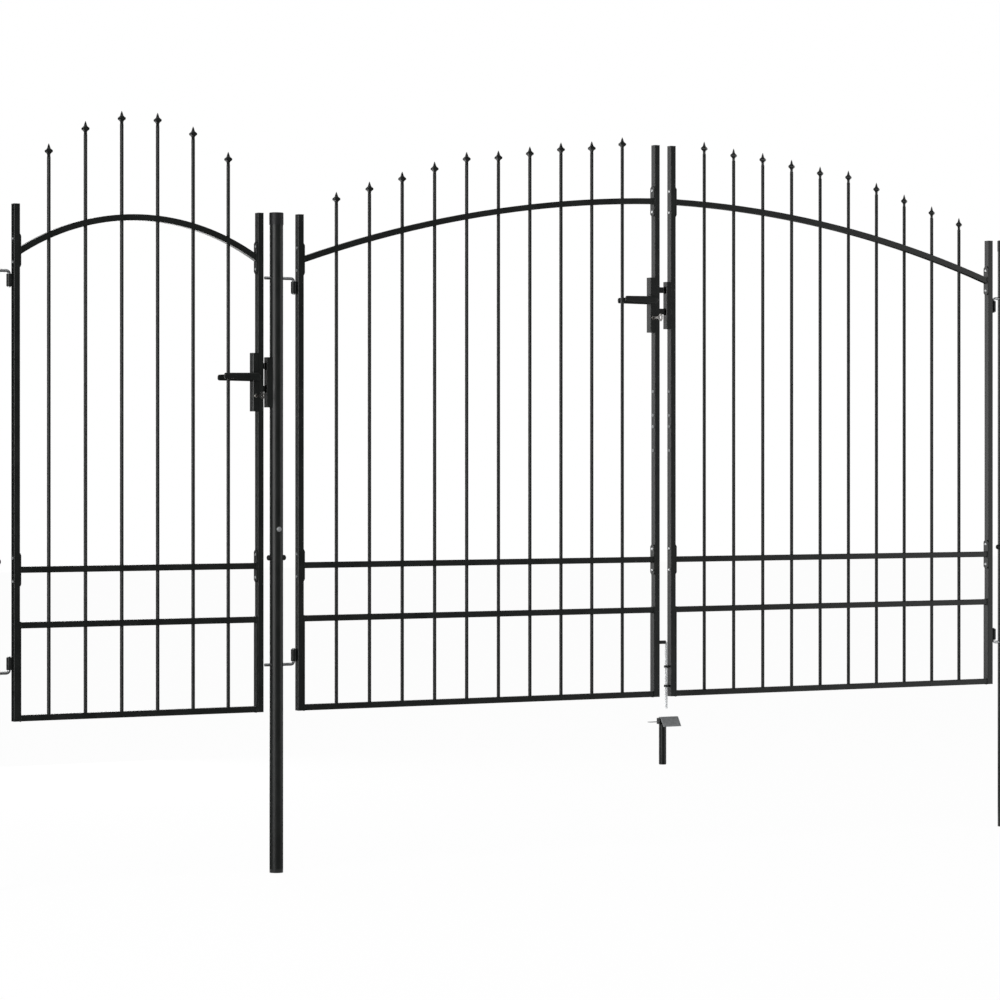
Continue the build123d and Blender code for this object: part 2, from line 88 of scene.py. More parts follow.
# Polyester powder baked on steel: near black and satin, with a fine orange-peel skin and faint drifts of tone
coat = {"dark": "#131514", "light": "#191b1a", "driftSize": 70.0, "driftDetail": 3.0,
        "roughness": (0.34, 0.42), "specular": 0.25,
        "peelSize": 2.4, "peelDetail": 2.0, "peelDepth": 0.04, "peelStrength": 0.5}
powderCoat, tree = newMaterial("powderCoatedSteel")
place = addNode(tree, "ShaderNodeTexCoord")
peel = addNode(tree, "ShaderNodeTexNoise",
               {"Scale": 1 / (coat["peelSize"] * mm), "Detail": coat["peelDetail"]},
               {"Vector": place.outputs["Object"]})
skin = addNode(tree, "ShaderNodeBump", {"Strength": coat["peelStrength"], "Distance": coat["peelDepth"] * mm},
               {"Height": peel.outputs["Fac"]})
drift = addNode(tree, "ShaderNodeTexNoise",
                {"Scale": 1 / (coat["driftSize"] * mm), "Detail": coat["driftDetail"]},
                {"Vector": place.outputs["Object"]})
tone = addNode(tree, "ShaderNodeValToRGB", links={"Fac": drift.outputs["Fac"]},
               stops=zip(noiseSpan, (coat["dark"], coat["light"])))
sheen = addNode(tree, "ShaderNodeMapRange", {"To Min": coat["roughness"][0], "To Max": coat["roughness"][1]},
                {"Value": drift.outputs["Fac"]})
shader = addNode(tree, "ShaderNodeBsdfPrincipled", {"Specular IOR Level": coat["specular"]},
                 {"Base Color": tone.outputs["Color"], "Roughness": sheen.outputs["Result"],
                  "Normal": skin.outputs["Normal"]})
addNode(tree, "ShaderNodeOutputMaterial", links={"Surface": shader.outputs["BSDF"]})


def platedZinc(name, plate):
    # Clouds of two greys over the plate, matt where they are dull and shining where they are light
    material, tree = newMaterial(name)
    place = addNode(tree, "ShaderNodeTexCoord")
    cloud = addNode(tree, "ShaderNodeTexNoise",
                    {"Scale": 1 / (plate["cloudSize"] * mm), "Detail": plate["cloudDetail"]},
                    {"Vector": place.outputs["Object"]})
    tone = addNode(tree, "ShaderNodeValToRGB", links={"Fac": cloud.outputs["Fac"]},
                   stops=zip(noiseSpan, (plate["dull"], plate["light"])))
    sheen = addNode(tree, "ShaderNodeMapRange", {"To Min": plate["matt"], "To Max": plate["shine"]},
                    {"Value": cloud.outputs["Fac"]})
    shader = addNode(tree, "ShaderNodeBsdfPrincipled", {"Metallic": plate["metallic"]},
                     {"Base Color": tone.outputs["Color"], "Roughness": sheen.outputs["Result"]})
    addNode(tree, "ShaderNodeOutputMaterial", links={"Surface": shader.outputs["BSDF"]})
    return material


# Zinc plate on the drawn bar of the hinge rods: dull silver grey, clouded in patches as the plate ages
zinc = {"dull": "#a4a6a7", "light": "#b8babb", "cloudSize": 24.0, "cloudDetail": 4.0,
        "matt": 0.46, "shine": 0.36, "metallic": 1.0}
zincSteel = platedZinc("zincPlatedSteel", zinc)

# Bright zinc on the other through-bolts and the drop bolt: clear passivated plate, paler than the rods and
# milky
bright = {"dull": "#c4c6c7", "light": "#dcdedf", "cloudSize": 4.0, "cloudDetail": 3.0,
          "matt": 0.38, "shine": 0.26, "metallic": 0.55}
brightZinc = platedZinc("brightZincFasteners", bright)

# Hot-dipped zinc on the folded plate and the dull bolts, and as painted shade on the through-bolts that sit
# darker: flat crystals of slightly different greys, gone dull
spangle = {"dark": "#828485", "light": "#8e9091", "crystalSize": 9.0, "span": (0.2, 0.8), "roughness": 0.55,
           "metallic": 0.5}
dippedZinc, tree = newMaterial("hotDippedSteel")
place = addNode(tree, "ShaderNodeTexCoord")
crystal = addNode(tree, "ShaderNodeTexVoronoi", {"Scale": 1 / (spangle["crystalSize"] * mm)},
                  {"Vector": place.outputs["Object"]})
tone = addNode(tree, "ShaderNodeValToRGB", links={"Fac": crystal.outputs["Color"]},
               stops=zip(spangle["span"], (spangle["dark"], spangle["light"])))
shader = addNode(tree, "ShaderNodeBsdfPrincipled",
                 {"Metallic": spangle["metallic"], "Roughness": spangle["roughness"]},
                 {"Base Color": tone.outputs["Color"]})
addNode(tree, "ShaderNodeOutputMaterial", links={"Surface": shader.outputs["BSDF"]})

# Satin nickel on brass: warm silver, with hair scratches where keys and fingers rub
nickel = {"dark": "#807f7c", "light": "#979592", "scratchSize": 1.2, "scratchDetail": 3.0,
          "scratchDrag": 0.15, "roughness": (0.24, 0.42), "metallic": 1.0}
nickelBrass, tree = newMaterial("nickelPlatedBrass")
place = addNode(tree, "ShaderNodeTexCoord")
drag = addNode(tree, "ShaderNodeMapping", {"Scale": (1.0, nickel["scratchDrag"], 1.0)},
               {"Vector": place.outputs["Object"]})
scratch = addNode(tree, "ShaderNodeTexNoise",
                  {"Scale": 1 / (nickel["scratchSize"] * mm), "Detail": nickel["scratchDetail"]},
                  {"Vector": drag.outputs["Vector"]})
tone = addNode(tree, "ShaderNodeValToRGB", links={"Fac": scratch.outputs["Fac"]},
               stops=zip(noiseSpan, (nickel["dark"], nickel["light"])))
sheen = addNode(tree, "ShaderNodeMapRange",
                {"To Min": nickel["roughness"][0], "To Max": nickel["roughness"][1]},
                {"Value": scratch.outputs["Fac"]})
shader = addNode(tree, "ShaderNodeBsdfPrincipled", {"Metallic": nickel["metallic"]},
                 {"Base Color": tone.outputs["Color"], "Roughness": sheen.outputs["Result"]})
addNode(tree, "ShaderNodeOutputMaterial", links={"Surface": shader.outputs["BSDF"]})

# Moulded polyethylene: black with a soft matt grain from the mould
plastic = {"dark": "#141516", "light": "#1b1c1d", "grainSize": 1.6, "grainDetail": 2.0, "grainDepth": 0.04,
           "grainStrength": 0.15, "roughness": 0.5, "specular": 0.25}
mouldedPlastic, tree = newMaterial("mouldedPolyethylene")
place = addNode(tree, "ShaderNodeTexCoord")
grain = addNode(tree, "ShaderNodeTexNoise",
                {"Scale": 1 / (plastic["grainSize"] * mm), "Detail": plastic["grainDetail"]},
                {"Vector": place.outputs["Object"]})
tone = addNode(tree, "ShaderNodeValToRGB", links={"Fac": grain.outputs["Fac"]},
               stops=zip(noiseSpan, (plastic["dark"], plastic["light"])))
skin = addNode(tree, "ShaderNodeBump",
               {"Strength": plastic["grainStrength"], "Distance": plastic["grainDepth"] * mm},
               {"Height": grain.outputs["Fac"]})
shader = addNode(tree, "ShaderNodeBsdfPrincipled",
                 {"Roughness": plastic["roughness"], "Specular IOR Level": plastic["specular"]},
                 {"Base Color": tone.outputs["Color"], "Normal": skin.outputs["Normal"]})
addNode(tree, "ShaderNodeOutputMaterial", links={"Surface": shader.outputs["BSDF"]})

finishes = {"black_powder_coat": powderCoat, "zinc_plated_steel": zincSteel,
            "nickel_plated_brass": nickelBrass, "black_plastic": mouldedPlastic}
for part in frame["record"]["subparts"]:
    nodes[part["node"]].data.materials.clear()
    nodes[part["node"]].data.materials.append(finishes[part["material_slot"]])
print("finishes set:", ", ".join(finishes))


def ringSurface(rings, loop=False):
    # Rows of points round closed rings: quads between neighbouring rows, and the end rows closed or joined
    rows, around = rings.shape[:2]
    row, column = np.meshgrid(np.arange(rows if loop else rows - 1), np.arange(around), indexing="ij")
    here, onward = row * around, (row + 1) % rows * around
    ahead = (column + 1) % around
    quads = np.stack([here + column, here + ahead, onward + ahead, onward + column], axis=-1).reshape(-1, 4)
    ends = [] if loop else [np.arange(around)[::-1], np.arange(around) + (rows - 1) * around]
    points = rings.reshape(-1, 3)
    centred = points - points.mean(axis=0)
    a, b, c, d = (centred[quads[:, i]] for i in range(4))
    # The sign of the volume tells which way the faces point, and they are turned outward
    volume = np.sum(a * np.cross(b, c)) + np.sum(a * np.cross(c, d))
    volume += sum(np.sum(centred[end[0]] * np.cross(centred[end[1:-1]], centred[end[2:]])) for end in ends)
    way = 1 if volume > 0 else -1
    return points, quads[:, ::way], [end[::way] for end in ends]


def rod(path, radius, sides=16):
    # A circle carried along a path in a leaf's plane: point = path + radius * (cos a * Y + sin a * normal)
    path = np.asarray(path, float)
    ahead = np.gradient(path, axis=0)
    ahead /= np.linalg.norm(ahead, axis=1)[:, None]
    across = np.array([0.0, 1.0, 0.0])
    normal = np.cross(ahead, across)
    angle = np.linspace(0, 2 * math.pi, sides, endpoint=False)
    return ringSurface(path[:, None] + radius * (np.cos(angle)[None, :, None] * across
                                                 + np.sin(angle)[None, :, None] * normal[:, None]))


def turned(centre, axis, profile, sides=24, loop=False):
    # A profile of (radius, distance) spun round an axis:
    # point = centre + distance * axis + radius * (cos a * u + sin a * v), with u and v square to the axis
    axis = np.asarray(axis, float)
    u = np.array([axis[1], axis[2], axis[0]])
    v = np.cross(axis, u)
    reach, along = np.asarray(profile, float).T
    angle = np.linspace(0, 2 * math.pi, sides, endpoint=False)
    spokes = np.cos(angle)[None, :, None] * u + np.sin(angle)[None, :, None] * v
    middles = np.asarray(centre, float) + along[:, None, None] * axis
    return ringSurface(middles + reach[:, None, None] * spokes, loop)


def prism(outline, step):
    # A flat outline carried straight along one step
    outline = np.asarray(outline, float)
    return ringSurface(np.stack([outline, outline + np.asarray(step, float)]))


def block(corner, opposite):
    # A bar between two opposite corners: the outline at the first one's height carried up to the other's
    (x, y, z), (farX, farY, farZ) = corner, opposite
    return prism([(x, y, z), (farX, y, z), (farX, farY, z), (x, farY, z)], (0, 0, farZ - z))


def squared(wave, power):
    # Pushes a circle's cosine or sine out to a superellipse's: sign of the wave * |wave| ^ (2 / power)
    return np.sign(wave) * np.abs(wave) ** (2 / power)


crease = 38.0  # degrees between faces, above which an edge is shown sharp


def addPiece(name, surfaces, material, body, smooth=True, standsFor=()):
    # Joins surfaces into one mesh at the origin and hangs it on its body
    starts = np.cumsum([0] + [len(points) for points, quads, ends in surfaces])
    faces = []
    for (points, quads, ends), start in zip(surfaces, starts):
        faces += (quads + start).tolist()
        faces += [(end + start).tolist() for end in ends]
    mesh = bpy.data.meshes.new(name)
    mesh.from_pydata(np.vstack([points for points, quads, ends in surfaces]).tolist(), [], faces)
    mesh.polygons.foreach_set("use_smooth", np.full(len(faces), smooth))
    if smooth:
        mesh.set_sharp_from_angle(angle=math.radians(crease))
    mesh.materials.append(material)
    mesh.update()
    piece = bpy.data.objects.new(name, mesh)
    scene.collection.objects.link(piece)
    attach(piece, body)
    if standsFor:
        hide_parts(*standsFor)
    return piece


# Pickets: round bars with four-sided spear heads, their tips on a stepped line
# A head is a stack of square rings: levels are shares of its height, and widths are shares of its full width
picket = {"radius": 6.0 * mm, "headHeight": 44.0 * mm, "headWidth": 28.0 * mm, "tipStep": 9.63 * mm,
          "levels": (0.0, 0.18, 0.27, 0.385, 0.5, 0.6, 0.66, 0.85, 1.0),
          "widths": (0.43, 0.4, 0.52, 1.0, 1.0, 0.58, 0.42, 0.24, 0.04),
          "steps": {"ped": (12, 4, 0, 0, 4, 12), "left": (24, 20, 16, 12, 8, 7, 5, 3, 2, 0),
                    "right": (0, 2, 3, 5, 7, 8, 12, 16, 20, 24)}}
for leaf in leafNames:
    low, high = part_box(leaf + "_pickets")
    corners = leaf == "right"  # corners point along the leaf, or the faces do
    reach = picket["headWidth"] / 2 if corners else picket["headWidth"] / math.sqrt(8)
    steps = picket["steps"][leaf]
    headAngle = np.arange(4) * math.pi / 2 + (0 if corners else math.pi / 4)
    headRing = np.stack([np.cos(headAngle), np.sin(headAngle), np.zeros(4)], axis=-1)
    bars, heads = [], []
    for x, step in zip(np.linspace(low.x + reach, high.x - reach, len(steps)), steps):
        neck = high.z - step * picket["tipStep"] - picket["headHeight"]
        bars.append(rod([(x, 0, low.z), (x, 0, neck)], picket["radius"]))
        rise = np.array(picket["levels"]) * picket["headHeight"] + neck
        widths = np.array(picket["widths"]) * picket["headWidth"] / 2
        middles = np.stack([np.full(len(rise), x), np.zeros(len(rise)), rise], axis=-1)
        heads.append(ringSurface(widths[:, None, None] * headRing + middles[:, None]))
    addPiece(leaf + "RoundBars", bars, powderCoat, leaf + "_leaf",
             standsFor=(leaf + "_pickets",))
    addPiece(leaf + "SpearHeads", heads, powderCoat, leaf + "_leaf", smooth=False)
print("pickets set")

# Hinge rods and drop bolt: round bar with a true bend, straight for a short lead at each end of it
bend = {"radius": 9.5 * mm, "lead": 1.0 * mm, "steps": 9}


def bentPath(start, corner, end):
    # Straight to the bend, a quarter circle, straight on: corner + r * (1 - sin a) back + r * (1 - cos a) on
    start, corner, end = (np.asarray(point, float) for point in (start, corner, end))
    back = (start - corner) / np.linalg.norm(start - corner)
    on = (end - corner) / np.linalg.norm(end - corner)
    angle = np.linspace(0, math.pi / 2, bend["steps"])[:, None]
    arc = corner + bend["radius"] * ((1 - np.sin(angle)) * back + (1 - np.cos(angle)) * on)
    return np.vstack([start, arc[0] + back * bend["lead"], arc, arc[-1] + on * bend["lead"], end])


def eyeOnWeb(x, foot, barRadius, face, shape):
    # A turned tube with broken edges round a bar, and a flat web from its wall to the face that carries it
    bore, rim = barRadius + shape["clearance"], shape["radius"] - shape["edge"]
    tube = [(bore, 0), (rim, 0), (shape["radius"], shape["edge"]),
            (shape["radius"], shape["height"] - shape["edge"]),
            (rim, shape["height"]), (bore, shape["height"])]
    webStart = x + math.copysign((shape["radius"] + bore) / 2, face - x)
    return [turned((x, 0, foot), (0, 0, 1), tube, loop=True),
            block((webStart, -shape["web"], foot), (face, shape["web"], foot + shape["height"]))]


eye = {"height": 40.0 * mm, "radius": 9.0 * mm, "edge": 1.0 * mm, "clearance": 0.4 * mm, "web": 4.0 * mm,
       "pinOver": 3.0 * mm}
for post, leaf, side in zip(postNames, leafNames, (1, 1, -1)):
    low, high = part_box(post + "_hinge_pins")
    radius = (high.y - low.y) / 2
    tail, axis = (low.x, high.x - radius) if side > 0 else (high.x, low.x + radius)
    eyeLow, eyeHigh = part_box(leaf + "_hinge_eyes")
    pinReach = eye["height"] + eye["pinOver"]
    upper = [(tail, 0, high.z - radius), (axis, 0, high.z - radius), (axis, 0, eyeHigh.z - pinReach)]
    lower = [(tail, 0, low.z + radius), (axis, 0, low.z + radius), (axis, 0, eyeLow.z + pinReach)]
    addPiece(post + "HingeRods", [rod(bentPath(*places), radius) for places in (upper, lower)], zincSteel,
             "posts", standsFor=(post + "_hinge_pins",))
    face = eyeHigh.x if side > 0 else eyeLow.x
    eyes = []
    for foot in (eyeLow.z, eyeHigh.z - eye["height"]):
        eyes += eyeOnWeb(axis, foot, radius, face, eye)
    addPiece(leaf + "HingeEyes", eyes, powderCoat, leaf + "_leaf",
             standsFor=(leaf + "_hinge_eyes",))

sleeve = {"length": 24.0 * mm, "wall": 1.1 * mm, "cap": 1.0 * mm}
low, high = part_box("drop_bolt")
boltRadius = (high.y - low.y) / 2
boltX, handleZ = high.x - boltRadius, high.z - boltRadius
boltPath = bentPath((boltX, 0, low.z), (boltX, 0, handleZ), (low.x, 0, handleZ))
addPiece("dropBoltRod", [rod(boltPath, boltRadius)], brightZinc, "drop_bolt",
         standsFor=("drop_bolt",))
grip = boltRadius + sleeve["wall"]
sleeveProfile = [(boltRadius, -sleeve["cap"]), (grip, 0), (grip, sleeve["length"]),
                 (grip - sleeve["wall"] / 2, sleeve["length"])]
addPiece("handleSleeve", [turned((low.x, 0, handleZ), (1, 0, 0), sleeveProfile)], mouldedPlastic, "drop_bolt")
print("rods set")

# Dome of a bolt head: a quarter circle from rim to crown, for turned
dome = {"points": 6, "pole": 0.02}
domeTurn = np.linspace(0, math.pi / 2, dome["points"])
domeShape = np.stack([np.cos(domeTurn).clip(dome["pole"]), np.sin(domeTurn)], axis=-1)

# Through-bolts at the end plates: low domes outside the stile and inside the plate
bolt = {"headRadius": 5.0 * mm, "headRise": 2.4 * mm, "spread": 37.0 * mm, "plate": 4.0 * mm,
        "plateHalf": 52.5 * mm}
boltDome = domeShape * (bolt["headRadius"], bolt["headRise"])


def plateHeights(leaf):
    # Heights of the end plates: the arch at the hinge and at the free end, and the middle rail
    archLow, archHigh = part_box(leaf + "_arch_rail")
    middleLow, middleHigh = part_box(leaf + "_middle_rail")
    springs = archLow.z + bolt["plateHalf"]
    crown = springs if leaf == "ped" else archHigh.z - bolt["plateHalf"]
    return springs, crown, (middleLow.z + middleHigh.z) / 2


for leaf in leafNames:
    archLow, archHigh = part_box(leaf + "_arch_rail")
    springs, crown, middleZ = plateHeights(leaf)
    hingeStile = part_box(leaf + "_hinge_stile")
    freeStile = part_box(leaf + ("_latch_stile" if leaf == "ped" else "_meeting_stile"))
    for end, stile, joint in (("Hinge", hingeStile, springs), ("Free", freeStile, crown)):
        leftSide = stile[0].x < (archLow.x + archHigh.x) / 2
        outX, inX, way = ((stile[0].x, stile[1].x + bolt["plate"], -1) if leftSide
                          else (stile[1].x, stile[0].x - bolt["plate"], 1))
        spread = np.array([-bolt["spread"], bolt["spread"]])
        domes = []
        for z in (*(joint + spread), *(middleZ + spread)):
            domes.append(turned((outX, 0, z), (way, 0, 0), boltDome))
            domes.append(turned((inX, 0, z), (-way, 0, 0), boltDome))
        dull = leaf == "ped" or leaf + end == "leftHinge"  # painted shade: these through-bolts get the duller grey where they sit darker than the others
        addPiece(leaf + end + "Bolts", domes, dippedZinc if dull else brightZinc, leaf + "_leaf")

# Stile bolts: each meeting stile is joined at half height, with two bolts above the joint and two below
stileBolt = {"offsets": (-103.0 * mm, -20.0 * mm, 20.0 * mm, 103.0 * mm), "headRadius": 6.5 * mm,
             "headRise": 3.0 * mm}
stileDome = domeShape * (stileBolt["headRadius"], stileBolt["headRise"])
for leaf in ("left", "right"):
    low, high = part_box(leaf + "_meeting_stile")
    heights = (low.z + high.z) / 2 + np.array(stileBolt["offsets"])
    sides = ((low.x, -1), (high.x, 1))
    domes = [turned((x, 0, z), (way, 0, 0), stileDome) for x, way in sides for z in heights]
    addPiece(leaf + "StileBolts", domes, dippedZinc, leaf + "_leaf")

# Splice bolts: in each post one from front to back above the joint, and one from side to side below it,
# with cap nuts
splice = {"offset": 47.0 * mm, "headRadius": 9.0 * mm, "headRise": 6.0 * mm, "nutRadius": 9.0 * mm,
          "nutRise": 12.0 * mm, "nutSink": 2.0 * mm}
headDome = domeShape * (splice["headRadius"], splice["headRise"])
nutCap = np.vstack([[splice["nutRadius"], -splice["nutSink"]],
                    domeShape * (splice["nutRadius"], splice["nutRise"] / 2) + (0, splice["nutRise"] / 2)])
spliceHeads, capNuts = [], []
for post in postNames:
    low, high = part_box(post + "_post_lower")
    x, radius = (low.x + high.x) / 2, (high.x - low.x) / 2
    seat = math.sqrt(radius ** 2 - splice["headRadius"] ** 2)
    for way in (-1, 1):
        spliceHeads.append(turned((x, way * seat, high.z + splice["offset"]), (0, way, 0), headDome))
        capNuts.append(turned((x + way * radius, 0, high.z - splice["offset"]), (way, 0, 0), nutCap))
addPiece("spliceBoltHeads", spliceHeads, dippedZinc, "posts")
addPiece("spliceCapNuts", capNuts, mouldedPlastic, "posts")
print("bolts set")

# Post caps: a moulded cup with a rounded rim over each post
cup = {"rim": 2.5 * mm, "clearance": 0.1 * mm, "pole": 0.1 * mm, "sides": 32}
low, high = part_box("post_caps")
capRadius, capHeight = (high.y - low.y) / 2, high.z - low.z
caps = []
for post in postNames:
    postLow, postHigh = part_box(post + "_post_upper")
    bore, seat = (postHigh.x - postLow.x) / 2 + cup["clearance"], postHigh.z - low.z
    rim = domeShape * cup["rim"] + (capRadius - cup["rim"], capHeight - cup["rim"])
    profile = np.vstack([[cup["pole"], seat], [bore, seat], [bore, 0], [capRadius, 0], rim,
                         [cup["pole"], capHeight]])
    caps.append(turned(((postLow.x + postHigh.x) / 2, 0, low.z), (0, 0, 1), profile, cup["sides"]))
addPiece("postCapCups", caps, mouldedPlastic, "posts", standsFor=("post_caps",))

# Lever handles: a rounded bar that tapers to its tip, cast with its neck, one each side of the spindle
handle = {"root": 13.5 * mm, "tip": 9.5 * mm, "tipRise": 2.8 * mm, "tipRound": 5.0 * mm,
          "thickness": 9.0 * mm, "fullShare": 0.6, "power": 3.4, "neck": 7.0 * mm, "neckLength": 7.0 * mm,
          "spindle": 4.0 * mm, "sections": 40, "around": 32, "endTurn": 0.03}


def leverBar(x, z, tipX, y, rise):
    # Superellipse sections along the bar: |v / h|^p + |w / t|^p = 1, with h a half circle at the root,
    # a taper and a rounded tip, and t full where h is over a share of the root's and thinner below it
    turn = np.linspace(handle["endTurn"], math.pi - handle["endTurn"], handle["sections"])
    along = x + handle["root"] - (1 - np.cos(turn)) / 2 * (x + handle["root"] - tipX)
    share = ((x - along) / (x - tipX)).clip(0, 1)
    halfHeight = handle["root"] + share * (handle["tip"] - handle["root"])
    halfHeight = np.sqrt((halfHeight ** 2 - (along - x).clip(0) ** 2).clip(0))
    tipTurn = 1 - (along - tipX).clip(0, handle["tipRound"]) / handle["tipRound"]
    halfHeight = halfHeight - handle["tipRound"] * (1 - np.sqrt(1 - tipTurn ** 2))
    fullness = (halfHeight / handle["root"] / handle["fullShare"]).clip(0, 1)
    halfThick = handle["thickness"] / 2 * np.sqrt(fullness)
    angle = np.linspace(0, 2 * math.pi, handle["around"], endpoint=False)
    w, v = squared(np.cos(angle), handle["power"]), squared(np.sin(angle), handle["power"])
    rings = np.stack([np.broadcast_to(along[:, None], (len(along), len(angle))),
                      y + halfThick[:, None] * w,
                      (z + share * rise)[:, None] + halfHeight[:, None] * v], axis=-1)
    return ringSurface(rings)


neckProfile = [(handle["neck"], 0), (handle["neck"], handle["neckLength"] + handle["thickness"] / 2)]
for lock in ("ped", "main"):
    low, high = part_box(lock + "_lever")
    x, z = high.x - handle["root"], (low.z + high.z) / 2
    neckY = high.y - handle["thickness"] - handle["neckLength"]
    parts = []
    for way in (-1, 1):
        middleY = way * (high.y - handle["thickness"] / 2)
        parts.append(leverBar(x, z, low.x, middleY, -way * handle["tipRise"]))
        parts.append(turned((x, way * neckY, z), (0, way, 0), neckProfile))
    parts.append(block((x - handle["spindle"], -neckY, z - handle["spindle"]),
                       (x + handle["spindle"], neckY, z + handle["spindle"])))
    addPiece(lock + "LeverHandles", parts, powderCoat, lock + "_lever",
             standsFor=(lock + "_lever",))

# Cylinders: a stepped barrel with the key left in it, its bow a flat ring
key = {"bow": 13.5 * mm, "hole": 6.0 * mm, "half": 1.25 * mm, "edge": 0.5 * mm, "blade": 4.0 * mm,
       "barrel": 6.5 * mm, "plug": 4.6 * mm, "step": 1.2 * mm, "bowSides": 36,
       "body": {"ped": "ped_leaf", "main": "left_leaf"}}
bowRim, barrelRim = key["bow"] - key["edge"], key["barrel"] - key["edge"]
bowEdge = key["half"] - key["edge"]
bowRing = [(key["hole"], -key["half"]), (bowRim, -key["half"]), (key["bow"], -bowEdge),
           (key["bow"], bowEdge), (bowRim, key["half"]), (key["hole"], key["half"])]
for lock in ("ped", "main"):
    low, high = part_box(lock + "_lock_cylinder")
    x, z, faceY = (low.x + high.x) / 2, (low.z + high.z) / 2, high.y
    bowY = low.y + key["bow"]
    plugY, edgeY = faceY - key["step"] / 2, faceY - key["edge"]
    barrel = [(key["plug"], -plugY), (barrelRim, -faceY), (key["barrel"], -edgeY),
              (key["barrel"], edgeY), (barrelRim, faceY), (key["plug"], plugY)]
    shankEnd = bowY + (key["bow"] + key["hole"]) / 2
    shank = block((x - key["half"], shankEnd, z - key["blade"]),
                  (x + key["half"], key["plug"] - faceY, z + key["blade"]))
    addPiece(lock + "CylinderAndKey",
             [turned((x, bowY, z), (1, 0, 0), bowRing, key["bowSides"], loop=True),
              turned((x, 0, z), (0, 1, 0), barrel), shank],
             nickelBrass, key["body"][lock], standsFor=(lock + "_lock_cylinder",))
print("handles and keys set")

# Drop bolt guides: short turned eyes on webs against the right meeting stile
guide = {"height": 8.0 * mm, "radius": 8.5 * mm, "edge": 0.8 * mm, "clearance": 0.3 * mm, "web": 4.0 * mm}
low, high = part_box("drop_bolt_guides")
guides = []
for foot in (low.z, high.z - guide["height"]):
    guides += eyeOnWeb(boltX, foot, boltRadius, high.x, guide)
addPiece("dropBoltEyes", guides, powderCoat, "right_leaf",
         standsFor=("drop_bolt_guides",))

# Ground stop: a coated stake with its lug, under a galvanised plate folded down in front, and a thin tongue
stop = {"stake": 13.0 * mm, "stakeEdge": 1.5 * mm, "stakeSide": 15.0 * mm,
        "lugReach": 18.0 * mm, "lugHalf": 10.0 * mm, "lugHeight": 21.0 * mm,
        "plate": 4.0 * mm, "fall": 33.0 * mm, "run": 22.0 * mm, "length": 72.0 * mm,
        "tongueDrop": 16.0 * mm, "tongueHalf": 8.0 * mm, "tongueThick": 2.0 * mm}
low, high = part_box("ground_stop")
stakeX, stakeY = boltX + stop["stakeSide"], high.y - stop["stake"]
ridgeZ, ridgeY = high.z, low.y + stop["run"]
underZ, footZ = ridgeZ - stop["plate"], ridgeZ - stop["fall"]
stakeProfile = [(stop["stake"], 0), (stop["stake"], underZ - low.z - stop["stakeEdge"]),
                (stop["stake"] - stop["stakeEdge"], underZ - low.z)]
lugX = stakeX - stop["lugReach"]
lug = block((lugX, stakeY - stop["lugHalf"], underZ - stop["lugHeight"]),
            (stakeX, stakeY + stop["lugHalf"], underZ))
stake = turned((stakeX, stakeY, underZ), (0, 0, -1), stakeProfile)
addPiece("groundStake", [stake, lug], powderCoat, "posts", standsFor=("ground_stop",))
plateX = high.x - stop["length"]
slope = prism([(plateX, low.y, footZ), (plateX, ridgeY, ridgeZ), (plateX, stakeY, ridgeZ),
               (plateX, stakeY, underZ), (plateX, ridgeY + stop["plate"] / 2, underZ),
               (plateX, low.y + stop["plate"], footZ)], (stop["length"], 0, 0))
tongueTop = ridgeZ - stop["tongueDrop"]
tongue = block((low.x, stakeY - stop["tongueHalf"], tongueTop - stop["tongueThick"]),
               (lugX, stakeY + stop["tongueHalf"], tongueTop))
addPiece("groundPlate", [slope, tongue], dippedZinc, "posts", smooth=False,
         standsFor=("ground_stop",))
print("guides and ground stop set")

# Weld beads: a rippled ring of weld round each rail where it meets its end plate
bead = {"radius": 2.0 * mm, "half": 9.6 * mm, "railHalf": 10.0 * mm, "power": 8.0,
        "ripple": 0.14, "ripples": 22, "along": 88, "around": 8}


def weldRing(x, z):
    # A small circle carried round a squared ring:
    # point = ring + r * (1 + ripple * sin(k * a)) * (cos b * out + sin b * X)
    a = np.linspace(0, 2 * math.pi, bead["along"], endpoint=False)
    b = np.linspace(0, 2 * math.pi, bead["around"], endpoint=False)
    out = np.stack([np.zeros_like(a), np.cos(a), np.sin(a)], axis=-1)
    ring = squared(out, bead["power"]) * bead["half"]
    size = bead["radius"] * (1 + bead["ripple"] * np.sin(bead["ripples"] * a))
    section = np.cos(b)[None, :, None] * out[:, None] + np.sin(b)[None, :, None] * np.array([1.0, 0.0, 0.0])
    return ringSurface((x, 0, z) + ring[:, None] + size[:, None, None] * section, loop=True)


for leaf in leafNames:
    archLow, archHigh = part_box(leaf + "_arch_rail")
    lowerLow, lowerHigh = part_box(leaf + "_lower_frame")
    springs, crown, middleZ = plateHeights(leaf)
    starts = (crown, springs) if leaf == "right" else (springs, crown)
    straights = (middleZ, lowerHigh.z - bead["railHalf"], lowerLow.z + bead["railHalf"])
    ends = (archLow.x + bolt["plate"], archHigh.x - bolt["plate"])
    rings = [weldRing(x, z) for x, arch in zip(ends, starts) for z in (arch, *straights)]
    addPiece(leaf + "WeldBeads", rings, powderCoat, leaf + "_leaf")
print("welds set")

# Camera at the photo's place: level, turned to the right of +Y
shot = {"place": (-5.090, -10.492, 1.3527), "turn": 29.5, "focalPixels": 3535.0, "horizon": 461.5,
        "frame": 1000.0, "sensor": 36.0, "farthest": 100.0}
camera = bpy.data.cameras.new("photoCamera")
camera.sensor_width = shot["sensor"]
camera.lens = shot["focalPixels"] * shot["sensor"] / shot["frame"]
camera.shift_y = (shot["horizon"] - shot["frame"] / 2) / shot["frame"]
camera.clip_end = shot["farthest"]
cameraObject = bpy.data.objects.new("photoCamera", camera)
cameraObject.location = shot["place"]
cameraObject.rotation_euler = (math.pi / 2, 0, -math.radians(shot["turn"]))
scene.collection.objects.link(cameraObject)
scene.camera = cameraObject


